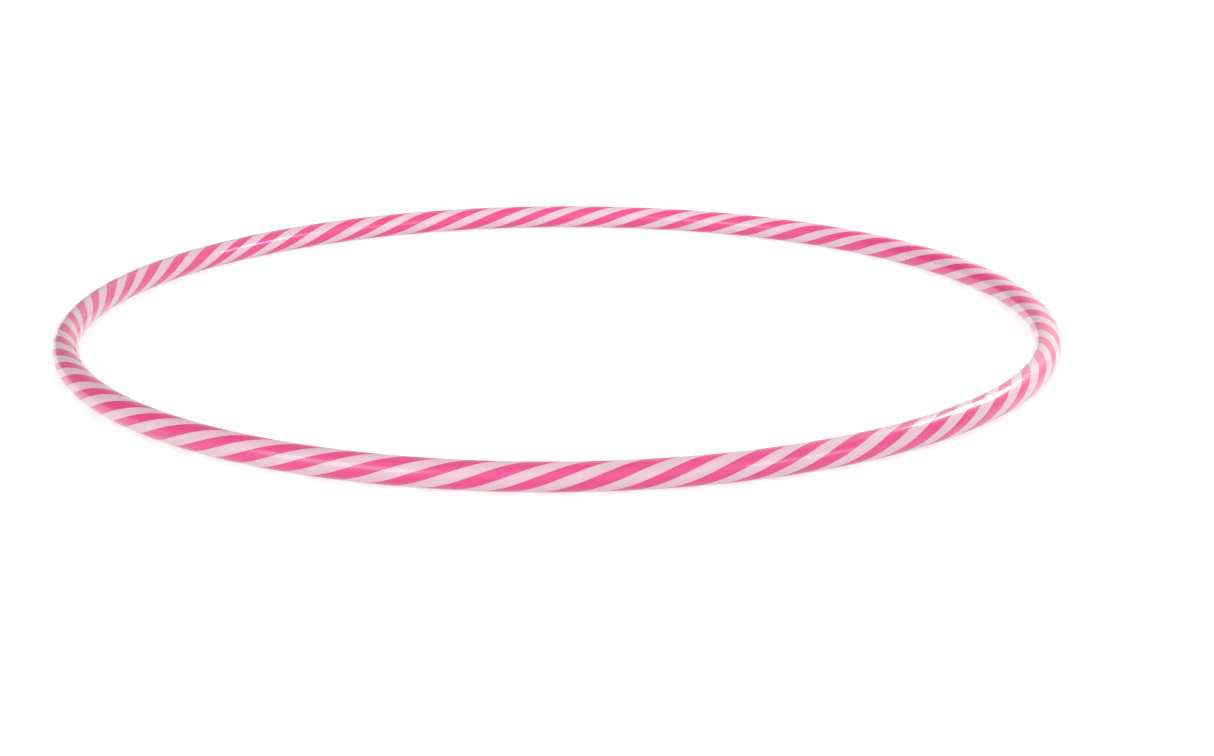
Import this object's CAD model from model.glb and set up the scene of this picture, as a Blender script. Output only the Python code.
import math

import bpy
import numpy as np
from mathutils import Matrix, Vector


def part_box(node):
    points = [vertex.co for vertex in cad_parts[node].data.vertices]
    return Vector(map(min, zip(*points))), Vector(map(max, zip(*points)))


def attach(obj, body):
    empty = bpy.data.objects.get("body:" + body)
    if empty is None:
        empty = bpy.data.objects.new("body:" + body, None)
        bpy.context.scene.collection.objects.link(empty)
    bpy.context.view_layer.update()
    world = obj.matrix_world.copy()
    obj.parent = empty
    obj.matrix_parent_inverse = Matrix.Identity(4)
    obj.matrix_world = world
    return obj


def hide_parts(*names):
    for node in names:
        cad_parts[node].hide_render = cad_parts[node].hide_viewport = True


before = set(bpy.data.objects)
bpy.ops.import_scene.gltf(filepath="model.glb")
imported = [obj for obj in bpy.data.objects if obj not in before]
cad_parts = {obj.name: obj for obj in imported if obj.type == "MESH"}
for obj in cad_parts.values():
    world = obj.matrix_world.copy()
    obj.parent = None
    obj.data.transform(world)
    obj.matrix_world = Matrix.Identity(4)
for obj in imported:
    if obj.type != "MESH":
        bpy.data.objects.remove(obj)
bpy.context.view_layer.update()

# ---------------------------------------------------------------- the view
# The hoop lies flat and is looked down on from a little above the horizon,
# from five ring radii away, so that its near side looks wider than its far one.

low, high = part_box("hoop_tube")
tube_radius = (high.z - low.z) / 2
ring_radius = (high.x - low.x) / 2 - tube_radius

camera_distance = 4.946 * ring_radius
camera_height_angle = math.radians(15.036)
camera_yaw = math.radians(-1.142)
camera_pitch = math.radians(-1.364)
camera_roll = math.radians(0.342)

camera = bpy.data.objects.new("camera", bpy.data.cameras.new("camera"))
bpy.context.scene.collection.objects.link(camera)
camera.data.sensor_width = 36
camera.data.lens = 70.72
camera.data.clip_start = 0.05
camera.data.clip_end = 50
stand = Vector((0, -math.cos(camera_height_angle), math.sin(camera_height_angle)))
camera.matrix_world = (
    Matrix.Translation(stand * camera_distance)
    @ Matrix.Rotation(math.pi / 2 - camera_height_angle, 4, "X")
    @ Matrix.Rotation(camera_yaw, 4, "Y")
    @ Matrix.Rotation(camera_pitch, 4, "X")
    @ Matrix.Rotation(-camera_roll, 4, "Z")
)
bpy.context.scene.camera = camera

# ------------------------------------------------------- floor and soft light
# A matt white floor in a plain white room that gives more light from in front and
# less from behind on the left. Two small soft boxes close by make the streaks on
# the glossy tube, and two large ones stand in front.

room_strength = 0.98
room_strength_seen = 1.06
room_colour = (1.0, 0.98, 0.955, 1)
lamp_colour = (1.0, 0.965, 0.99)
floor_side = 30.0
floor_shade = (0.32, 0.35)
floor_glow = 0.7

scene = bpy.context.scene
scene.view_settings.view_transform = "Standard"
scene.world = bpy.data.worlds.new("white_room")
scene.world.use_nodes = True
room = scene.world.node_tree
whichever_way = room.nodes.new("ShaderNodeTexCoord")


def patch(towards, starts_at, full_at, strength):
    """Soft round patch of the room, brighter or darker than the rest: nothing where
    the cosine of the angle from its middle is starts_at, and in a smooth step up to
    its whole strength where that cosine is full_at."""
    cosine = room.nodes.new("ShaderNodeVectorMath")
    cosine.operation = "DOT_PRODUCT"
    cosine.inputs[1].default_value = Vector(towards).normalized()
    room.links.new(whichever_way.outputs["Generated"], cosine.inputs[0])
    fade = room.nodes.new("ShaderNodeMapRange")
    fade.interpolation_type = "SMOOTHSTEP"
    fade.inputs["From Min"].default_value = starts_at
    fade.inputs["From Max"].default_value = full_at
    fade.inputs["To Max"].default_value = strength
    room.links.new(cosine.outputs["Value"], fade.inputs["Value"])
    return fade.outputs["Result"]


bright_front = patch((-0.1, -0.98, 0.15), 0.0, 1.0, 0.5)
dark_behind = patch((-0.70, 0.68, 0.25), 0.6, 1.0, -0.6)
room_light = room.nodes.new("ShaderNodeMath")
room_light.inputs[1].default_value = room_strength
patches = room.nodes.new("ShaderNodeMath")
room.links.new(bright_front, patches.inputs[0])
room.links.new(dark_behind, patches.inputs[1])
room.links.new(patches.outputs[0], room_light.inputs[0])
# Seen directly, the room is one plain white.
seen = room.nodes.new("ShaderNodeLightPath")
plain = room.nodes.new("ShaderNodeMix")
plain.inputs["B"].default_value = room_strength_seen
room.links.new(seen.outputs["Is Camera Ray"], plain.inputs["Factor"])
room.links.new(room_light.outputs[0], plain.inputs["A"])
room.links.new(plain.outputs["Result"], room.nodes["Background"].inputs["Strength"])
room.nodes["Background"].inputs["Color"].default_value = room_colour

floor_mesh = bpy.data.meshes.new("floor")
half = floor_side / 2
floor_mesh.from_pydata(
    [(-half, -half, low.z), (half, -half, low.z), (half, half, low.z), (-half, half, low.z)],
    [],
    [(0, 1, 2, 3)],
)
floor = bpy.data.objects.new("floor", floor_mesh)
scene.collection.objects.link(floor)


def shader(name, **values):
    """New material, its node tree and its Principled shader with plain values set."""
    material = bpy.data.materials.new(name)
    material.use_nodes = True
    tree = material.node_tree
    principled = tree.nodes["Principled BSDF"]
    for socket, value in values.items():
        principled.inputs[socket.replace("_", " ")].default_value = value
    return material, tree, principled


def noise(tree, vector, scale, detail=2.0):
    """Noise texture read at a vector socket; gives back its 0 to 1 output."""
    texture = tree.nodes.new("ShaderNodeTexNoise")
    texture.inputs["Scale"].default_value = scale
    texture.inputs["Detail"].default_value = detail
    tree.links.new(vector, texture.inputs["Vector"])
    return texture.outputs["Fac"]


def spread(tree, share, low_end, high_end):
    """Straight line from low_end, where the share is 0, to high_end, where it is 1."""
    line = tree.nodes.new("ShaderNodeMapRange")
    line.inputs["To Min"].default_value = low_end
    line.inputs["To Max"].default_value = high_end
    tree.links.new(share, line.inputs["Value"])
    return line.outputs["Result"]


floor_paint, tree, principled = shader("floor_paint", Roughness=0.6)
principled.inputs["Emission Color"].default_value = (1, 1, 1, 1)
principled.inputs["Emission Strength"].default_value = floor_glow
on_floor = tree.nodes.new("ShaderNodeTexCoord").outputs["Object"]
grain = spread(tree, noise(tree, on_floor, 40), *floor_shade)
tree.links.new(grain, principled.inputs["Base Color"])
floor_mesh.materials.append(floor_paint)


def soft_box(name, place, width, height, power):
    """Rectangular light at a place, turned to face the hoop's centre."""
    light = bpy.data.lights.new(name, "AREA")
    light.shape = "RECTANGLE"
    light.size = width
    light.size_y = height
    light.energy = power
    light.color = lamp_colour
    box = bpy.data.objects.new(name, light)
    box.location = place
    box.rotation_euler = Vector(place).to_track_quat("Z", "Y").to_euler()
    scene.collection.objects.link(box)


soft_box("near_box", (0.66, 0.25, 0.43), 0.30, 0.20, 2.0)
soft_box("upper_near_box", (0.66, 0.11, 0.57), 0.20, 0.12, 0.65)
soft_box("front_left_box", (-2.05, -2.00, 1.00), 2.0, 1.2, 22)
soft_box("front_right_box", (2.22, -1.86, 0.78), 1.3, 0.9, 9)

# ----------------------------------------------------- striped tube, white part
# One length of polyethylene tube, bent to a ring. It is extruded through a
# turning die that lays four pink strands into its outer wall, so its white part
# keeps four winding lands between four channels. The ends are sawn square.

# The twist's angles are in degrees. Places and widths across the stripes are in
# stripe spacings: strand 0's edges are either side of 0, strand 1's of 1, and so on.
wall_thickness = 0.0018
channel_depth = 0.0005
joint_azimuth = math.radians(35)
butt_gap = 0.00015
stripe_count = 62
first_strand_angle = -25.3
sway_once, sway_twice, sway_thrice = 17.2, 4.3, 11.1
strand_edges = ((-0.236, 0.244), (-0.246, 0.290), (-0.242, 0.216), (-0.290, 0.270))
strands = len(strand_edges)
lip_width = 0.010
lip_drop = 0.00007
end_round = 0.00025
end_drop = 0.00010
wall_lean = 0.002
rows = 720
bore_rows = 121

# Rows of points along the tube, closer together where the sawn ends are broken.
half_gap = butt_gap / 2 / ring_radius
end_rows = np.array([0, 0.25, 0.6, 1.0]) * end_round / ring_radius
first, last = joint_azimuth + half_gap, joint_azimuth + 2 * math.pi - half_gap
azimuths = np.concatenate(
    [
        first + end_rows[:-1],
        np.linspace(first + end_rows[-1], last - end_rows[-1], rows),
        last - end_rows[:-1][::-1],
    ]
)


def tube_angle(azimuth, place):
    """Angle round the tube of the line `place` stripe spacings from strand 0:
    a steady twist of stripe_count/strands turns a circuit, less a slow sway."""
    sway = (
        sway_once * np.sin(azimuth)
        + sway_twice * np.cos(2 * azimuth)
        + sway_thrice * np.sin(3 * azimuth)
    )
    turns = stripe_count * np.degrees(azimuth) / strands
    return np.radians(turns + first_strand_angle - sway - 360 * place / strands)


def ring_points(azimuth, angle, radius):
    """A ring's surface: out = R + r cos(angle), up = r sin(angle), turned about Z."""
    out = ring_radius + radius * np.cos(angle)
    return np.stack(
        [out * np.cos(azimuth), out * np.sin(azimuth), radius * np.sin(angle)], axis=-1
    )


def end_fall(azimuth):
    """How far the surface falls at the sawn ends: a parabola over the last bit."""
    inside = np.minimum(azimuth - first, last - azimuth) * ring_radius
    return end_drop * np.clip(1 - inside / end_round, 0, 1) ** 2


def grid_faces(row_count, columns, start=0):
    """Quads of a grid whose columns close on themselves, as an array of indices:
    a point, the one beside it, and those two in the next row, in reverse."""
    row, column = np.meshgrid(np.arange(row_count - 1), np.arange(columns), indexing="ij")
    here = start + row * columns
    onward = here + columns
    beside = (column + 1) % columns
    corners = [here + column, here + beside, onward + beside, onward + column]
    return np.stack(corners, axis=-1).reshape(-1, 4)


def piece(name, points, faces, uv, material):
    """Object made from points, faces (rows of indices) and a UV for each point."""
    mesh = bpy.data.meshes.new(name)
    mesh.from_pydata(points.reshape(-1, 3), [], faces)
    layer = mesh.uv_layers.new(name="tube_map")
    corners = np.empty(len(mesh.loops), dtype=np.int32)
    mesh.loops.foreach_get("vertex_index", corners)
    layer.uv.foreach_set("vector", uv.reshape(-1, 2)[corners].astype(np.float32).ravel())
    mesh.materials.append(material)
    mesh.shade_smooth()
    mesh.set_sharp_from_angle(angle=math.radians(38))
    made = bpy.data.objects.new(name, mesh)
    scene.collection.objects.link(made)
    return made


def outer_arc(start, end, steps):
    """Profile along the tube's outside from start to end: (place, depth) pairs
    whose lips fall off in a small round at each colour change."""
    inner = np.linspace(start + lip_width, end - lip_width, steps + 1)
    lip = np.array([[0.0, 1.0], [0.25, 0.45], [0.6, 0.1]]) * [lip_width, lip_drop]
    first_lip = lip + [start, 0]
    last_lip = (lip * [-1, 1] + [end, 0])[::-1]
    return np.concatenate([first_lip, np.stack([inner, 0 * inner], axis=-1), last_lip])


def floor_arc(start, end, steps):
    """Profile along a channel's floor from start to end: (place, depth) pairs."""
    along = np.linspace(start, end, steps + 1)
    return np.stack([along, np.full_like(along, channel_depth)], axis=-1)


def swept(profile):
    """The profile carried along the whole tube with the twist: points and UVs.
    The UV is metres along the tube's centreline, and stripe spacings across."""
    place, depth = profile[:, 0], profile[:, 1]
    azimuth = azimuths[:, None]
    radius = tube_radius - depth[None, :] - end_fall(azimuth)
    points = ring_points(azimuth + 0 * place, tube_angle(azimuth, place[None, :]), radius)
    uv = np.stack([azimuth * ring_radius + 0 * place, place + 0 * azimuth], axis=-1)
    return points, uv


profile = []
for strand, (start, end) in enumerate(strand_edges):
    following = strand_edges[(strand + 1) % strands][0] + 1
    profile.append(floor_arc(strand + start + wall_lean, strand + end - wall_lean, 4))
    profile.append(outer_arc(strand + end, strand + following, 9))
profile = np.concatenate(profile)
outside, outside_uv = swept(profile)
columns = len(profile)

# The bore is plain and round. Its columns begin and end where the outside's do,
# so that the sawn ends close, but leave out the whole turns between.
share = np.linspace(0, 1, bore_rows)[:, None]
ends = tube_angle(np.array([[first], [last]]), profile[None, :, 0])
whole_turns = 2 * math.pi * round((ends[1, 0] - ends[0, 0] - math.pi) / (2 * math.pi))
bore_angle = ends[0] + share * (ends[1] - ends[0] - whole_turns)
bore_azimuth = first + share * (last - first) + 0 * bore_angle
bore = ring_points(bore_azimuth, bore_angle, tube_radius - wall_thickness)
bore_uv = np.stack([bore_azimuth * ring_radius, profile[None, :, 0] + 0 * bore_azimuth], axis=-1)

outside_faces = grid_faces(len(azimuths), columns)
bore_start = len(azimuths) * columns
bore_faces = grid_faces(bore_rows, columns, bore_start)[:, ::-1]
round_loop = np.arange(columns)
beside = (round_loop + 1) % columns
last_outside = (len(azimuths) - 1) * columns
last_bore = bore_start + (bore_rows - 1) * columns
first_cap = np.stack([round_loop, bore_start + round_loop, bore_start + beside, beside], axis=-1)
last_cap = np.stack(
    [
        last_outside + round_loop,
        last_outside + beside,
        last_bore + beside,
        last_bore + round_loop,
    ],
    axis=-1,
)


def effect(name, inputs, outputs):
    """New shader node group with named value inputs and outputs."""
    group = bpy.data.node_groups.new(name, "ShaderNodeTree")
    for socket, value in inputs.items():
        made = group.interface.new_socket(socket, in_out="INPUT", socket_type="NodeSocketFloat")
        made.default_value = value
    for socket in outputs:
        group.interface.new_socket(socket, in_out="OUTPUT", socket_type="NodeSocketFloat")
    return group, group.nodes.new("NodeGroupInput"), group.nodes.new("NodeGroupOutput")


def math_node(tree, operation, first_value, second_value=None):
    """Math node whose inputs are sockets or numbers; gives back its output."""
    node = tree.nodes.new("ShaderNodeMath")
    node.operation = operation
    for slot, value in enumerate((first_value, second_value)):
        if isinstance(value, bpy.types.NodeSocket):
            tree.links.new(value, node.inputs[slot])
        elif value is not None:
            node.inputs[slot].default_value = value
    return node.outputs[0]


# Extruded surface: faint lines drawn along the tube by the die, a slow waviness
# from cooling, and fine handling scratches. Gives a height and a roughness.
extruded, given, out = effect(
    "extruded_surface",
    {"Ring Radius": ring_radius, "Roughness": 0.2},
    ["Height", "Roughness"],
)
where = extruded.nodes.new("ShaderNodeTexCoord")
apart = extruded.nodes.new("ShaderNodeSeparateXYZ")
extruded.links.new(where.outputs["Object"], apart.inputs[0])
x, y, z = apart.outputs
squares = [math_node(extruded, "MULTIPLY", side, side) for side in (x, y)]
from_axis = math_node(extruded, "SQRT", math_node(extruded, "ADD", *squares))
section = extruded.nodes.new("ShaderNodeCombineXYZ")
outward = math_node(extruded, "SUBTRACT", from_axis, given.outputs["Ring Radius"])
drawn_along = math_node(extruded, "MULTIPLY", math_node(extruded, "ARCTAN2", y, x), 0.004)
for slot, value in enumerate((outward, z, drawn_along)):
    extruded.links.new(value, section.inputs[slot])
die_lines = noise(extruded, section.outputs[0], 900, 2)
waviness = noise(extruded, where.outputs["Object"], 45, 1)
scratches = noise(extruded, where.outputs["Object"], 1400, 3)
height = math_node(extruded, "MULTIPLY", die_lines, 0.25)
height = math_node(extruded, "ADD", height, waviness)
height = math_node(extruded, "ADD", height, math_node(extruded, "MULTIPLY", scratches, 0.03))
extruded.links.new(height, out.inputs["Height"])
uneven = math_node(extruded, "SUBTRACT", scratches, 0.5)
uneven = math_node(extruded, "MULTIPLY", uneven, 0.10)
rough = math_node(extruded, "ADD", given.outputs["Roughness"], uneven)
extruded.links.new(rough, out.inputs["Roughness"])


def two_tones(tree, share, start, end, first_colour, last_colour):
    """Colour that runs from the first to the last as the share goes start to end."""
    ramp = tree.nodes.new("ShaderNodeValToRGB")
    stops = ramp.color_ramp.elements
    for stop, position, colour in zip(stops, (start, end), (first_colour, last_colour)):
        stop.position = position
        stop.color = (*colour, 1)
    tree.links.new(share, ramp.inputs["Fac"])
    return ramp.outputs["Color"]


def plastic(name, colour, streak, roughness, **values):
    """Extruded plastic with a glossy skin over a softer body. Its colour runs
    between two tones in streaks drawn out along the tube."""
    material, tree, principled = shader(name, **values)
    flow_map = tree.nodes.new("ShaderNodeUVMap")
    flow_map.uv_map = "tube_map"
    stretch = tree.nodes.new("ShaderNodeMapping")
    stretch.inputs["Scale"].default_value = (16, 9, 1)
    tree.links.new(flow_map.outputs["UV"], stretch.inputs["Vector"])
    flow = noise(tree, stretch.outputs["Vector"], 1, 3)
    tone = two_tones(tree, flow, 0.30, 0.70, streak, colour)
    tree.links.new(tone, principled.inputs["Base Color"])
    surface = tree.nodes.new("ShaderNodeGroup")
    surface.node_tree = extruded
    surface.inputs["Roughness"].default_value = roughness
    tree.links.new(surface.outputs["Roughness"], principled.inputs["Roughness"])
    bump = tree.nodes.new("ShaderNodeBump")
    bump.inputs["Strength"].default_value = 0.15
    bump.inputs["Distance"].default_value = 0.0004
    tree.links.new(surface.outputs["Height"], bump.inputs["Height"])
    tree.links.new(bump.outputs["Normal"], principled.inputs["Normal"])
    return material


pearl_white = plastic(
    "pearl_white_plastic",
    (0.585, 0.395, 0.465),
    (0.545, 0.355, 0.42),
    0.42,
    Coat_Weight=0.9,
    Coat_Roughness=0.12,
)
tube = piece(
    "tube_white",
    np.concatenate([outside.reshape(-1, 3), bore.reshape(-1, 3)]),
    np.concatenate([outside_faces, bore_faces, first_cap, last_cap]),
    np.concatenate([outside_uv.reshape(-1, 2), bore_uv.reshape(-1, 2)]),
    pearl_white,
)
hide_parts("hoop_tube")
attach(tube, "root")

# ------------------------------------------------------------- pink strands
# Four strands of hot pink polyethylene, let into the white wall by the same
# die while both are molten, so they lie flush and can't peel. Each strand keeps
# its own width all the way round, because the die's four slots aren't equal.

hot_pink = plastic(
    "hot_pink_plastic",
    (0.60, 0.017, 0.190),
    (0.54, 0.010, 0.145),
    0.42,
    Coat_Weight=0.9,
    Coat_Roughness=0.12,
)
for strand, (start, end) in enumerate(strand_edges):
    profile = np.concatenate(
        [
            floor_arc(strand + start, strand + end, 4)[::-1],
            outer_arc(strand + start, strand + end, 10),
        ]
    )
    points, uv = swept(profile)
    columns = len(profile)
    cap = np.arange(columns)
    last_cap = cap + (len(azimuths) - 1) * columns
    faces = [*grid_faces(len(azimuths), columns), cap[::-1], last_cap]
    ribbon = piece(f"strand_pink_{strand + 1}", points, faces, uv, hot_pink)
    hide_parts(f"pink_strand_{strand + 1}")
    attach(ribbon, "root")

# --------------------------------------------------------------- joint plug
# A rod moulded in the same curve as the ring, inside the tube and out of sight,
# half in each end. Its plastic is matt with a faint mottle.

plug_plastic, tree, principled = shader("plug_plastic", Roughness=0.55)
on_plug = tree.nodes.new("ShaderNodeTexCoord").outputs["Object"]
mottle = two_tones(tree, noise(tree, on_plug, 250), 0, 1, (0.66, 0.64, 0.58), (0.76, 0.74, 0.69))
tree.links.new(mottle, principled.inputs["Base Color"])
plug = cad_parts["joint_plug"]
plug.data.materials.clear()
plug.data.materials.append(plug_plastic)

# -------------------------------------------------------------------- staples
# Two staples of flat galvanised wire, driven through the outward side of the
# tube into the plug, one each side of the joint. The wire is bent with round
# corners, its edges are rolled, and its crown stands just proud of the plastic.

staple_distance = 0.018
crown_length = 0.010
leg_length = 0.007
wire_width = 0.0012
wire_thickness = 0.0006
wire_edge = 0.00018
bend_radius = 0.0005
point_length = 0.0008
point_share = 0.2
crown_proud = 0.0001


def rounded_section(width, thickness, radius, steps):
    """Rectangle with round corners, as (thickness, width) points: each corner is
    a quarter circle about a centre set in by the radius."""
    quarter = np.linspace(0, math.pi / 2, steps)
    corners = []
    for turn, (right, top) in enumerate(((1, 1), (-1, 1), (-1, -1), (1, -1))):
        angle = quarter + turn * math.pi / 2
        centre = [right * (thickness / 2 - radius), top * (width / 2 - radius)]
        corners.append(centre + radius * np.stack([np.cos(angle), np.sin(angle)], axis=-1))
    return np.concatenate(corners)


def staple_path(steps):
    """Middle of the wire from one point to the other, and its outward normal, in
    (out, along): straight leg, quarter circle, crown, and the same mirrored."""
    top = crown_proud - wire_thickness / 2
    side = crown_length / 2 - wire_thickness / 2
    tip = crown_proud - leg_length
    leg = np.linspace(tip, top - bend_radius, steps)
    leg = np.sort(np.append(leg, tip + point_length))
    straight = np.stack([leg, np.full_like(leg, side)], axis=-1)
    angle = np.linspace(0, math.pi / 2, 8)[1:]
    way = np.stack([np.sin(angle), np.cos(angle)], axis=-1)
    bend = [top - bend_radius, side - bend_radius] + bend_radius * way
    half = np.concatenate([straight, bend, [[top, 0.0]]])
    normal = np.concatenate([[[0.0, 1.0]] * len(straight), way, [[1.0, 0.0]]])
    return (
        np.concatenate([half, half[-2::-1] * [1, -1]]),
        np.concatenate([normal, normal[-2::-1] * [1, -1]]),
    )


path, normal = staple_path(10)
section = rounded_section(wire_width, wire_thickness, wire_edge, 4)
# Chisel points: the wire keeps its outer face there, and thins from the inside.
from_tip = path[:, 0] - path[:, 0].min()
sharpness = np.clip(point_share + (1 - point_share) * from_tip / point_length, 0, 1)
shift = (1 - sharpness) * (wire_thickness / 2 - wire_edge)
across = section[None, :, 0] * sharpness[:, None] + shift[:, None]
out = path[:, 0, None] + across * normal[:, 0, None]
along = path[:, 1, None] + across * normal[:, 1, None]
up = np.broadcast_to(section[None, :, 1], out.shape)
rows_of_wire, columns = out.shape
travelled = np.concatenate([[0], np.cumsum(np.linalg.norm(np.diff(path, axis=0), axis=1))])
wire_uv = np.stack(
    [
        np.broadcast_to(travelled[:, None], out.shape),
        np.broadcast_to(np.arange(columns)[None, :] / columns, out.shape),
    ],
    axis=-1,
)
cap = np.arange(columns)
last_cap = cap + (rows_of_wire - 1) * columns
wire_faces = [*grid_faces(rows_of_wire, columns), cap[::-1], last_cap]

staple_steel, tree, principled = shader("staple_steel", Metallic=1.0)
wire_map = tree.nodes.new("ShaderNodeUVMap")
wire_map.uv_map = "tube_map"
drawn_out = tree.nodes.new("ShaderNodeMapping")
drawn_out.inputs["Scale"].default_value = (300, 24, 1)
tree.links.new(wire_map.outputs["UV"], drawn_out.inputs["Vector"])
drawn = noise(tree, drawn_out.outputs["Vector"], 1, 3)
zinc = two_tones(tree, drawn, 0.35, 0.65, (0.22, 0.23, 0.25), (0.42, 0.43, 0.44))
scored = tree.nodes.new("ShaderNodeBump")
scored.inputs["Strength"].default_value = 0.4
scored.inputs["Distance"].default_value = 0.00003
tree.links.new(drawn, scored.inputs["Height"])
tree.links.new(spread(tree, drawn, 0.22, 0.5), principled.inputs["Roughness"])
tree.links.new(zinc, principled.inputs["Base Color"])
tree.links.new(scored.outputs["Normal"], principled.inputs["Normal"])

for name, side in (("staple_before_joint", -1), ("staple_after_joint", 1)):
    turn = joint_azimuth + side * staple_distance / ring_radius
    reach = ring_radius + tube_radius + out
    points = np.stack(
        [
            reach * math.cos(turn) - along * math.sin(turn),
            reach * math.sin(turn) + along * math.cos(turn),
            up,
        ],
        axis=-1,
    )
    wire = piece(name, points, wire_faces, wire_uv, staple_steel)
    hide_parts("joint_staples")
    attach(wire, "root")
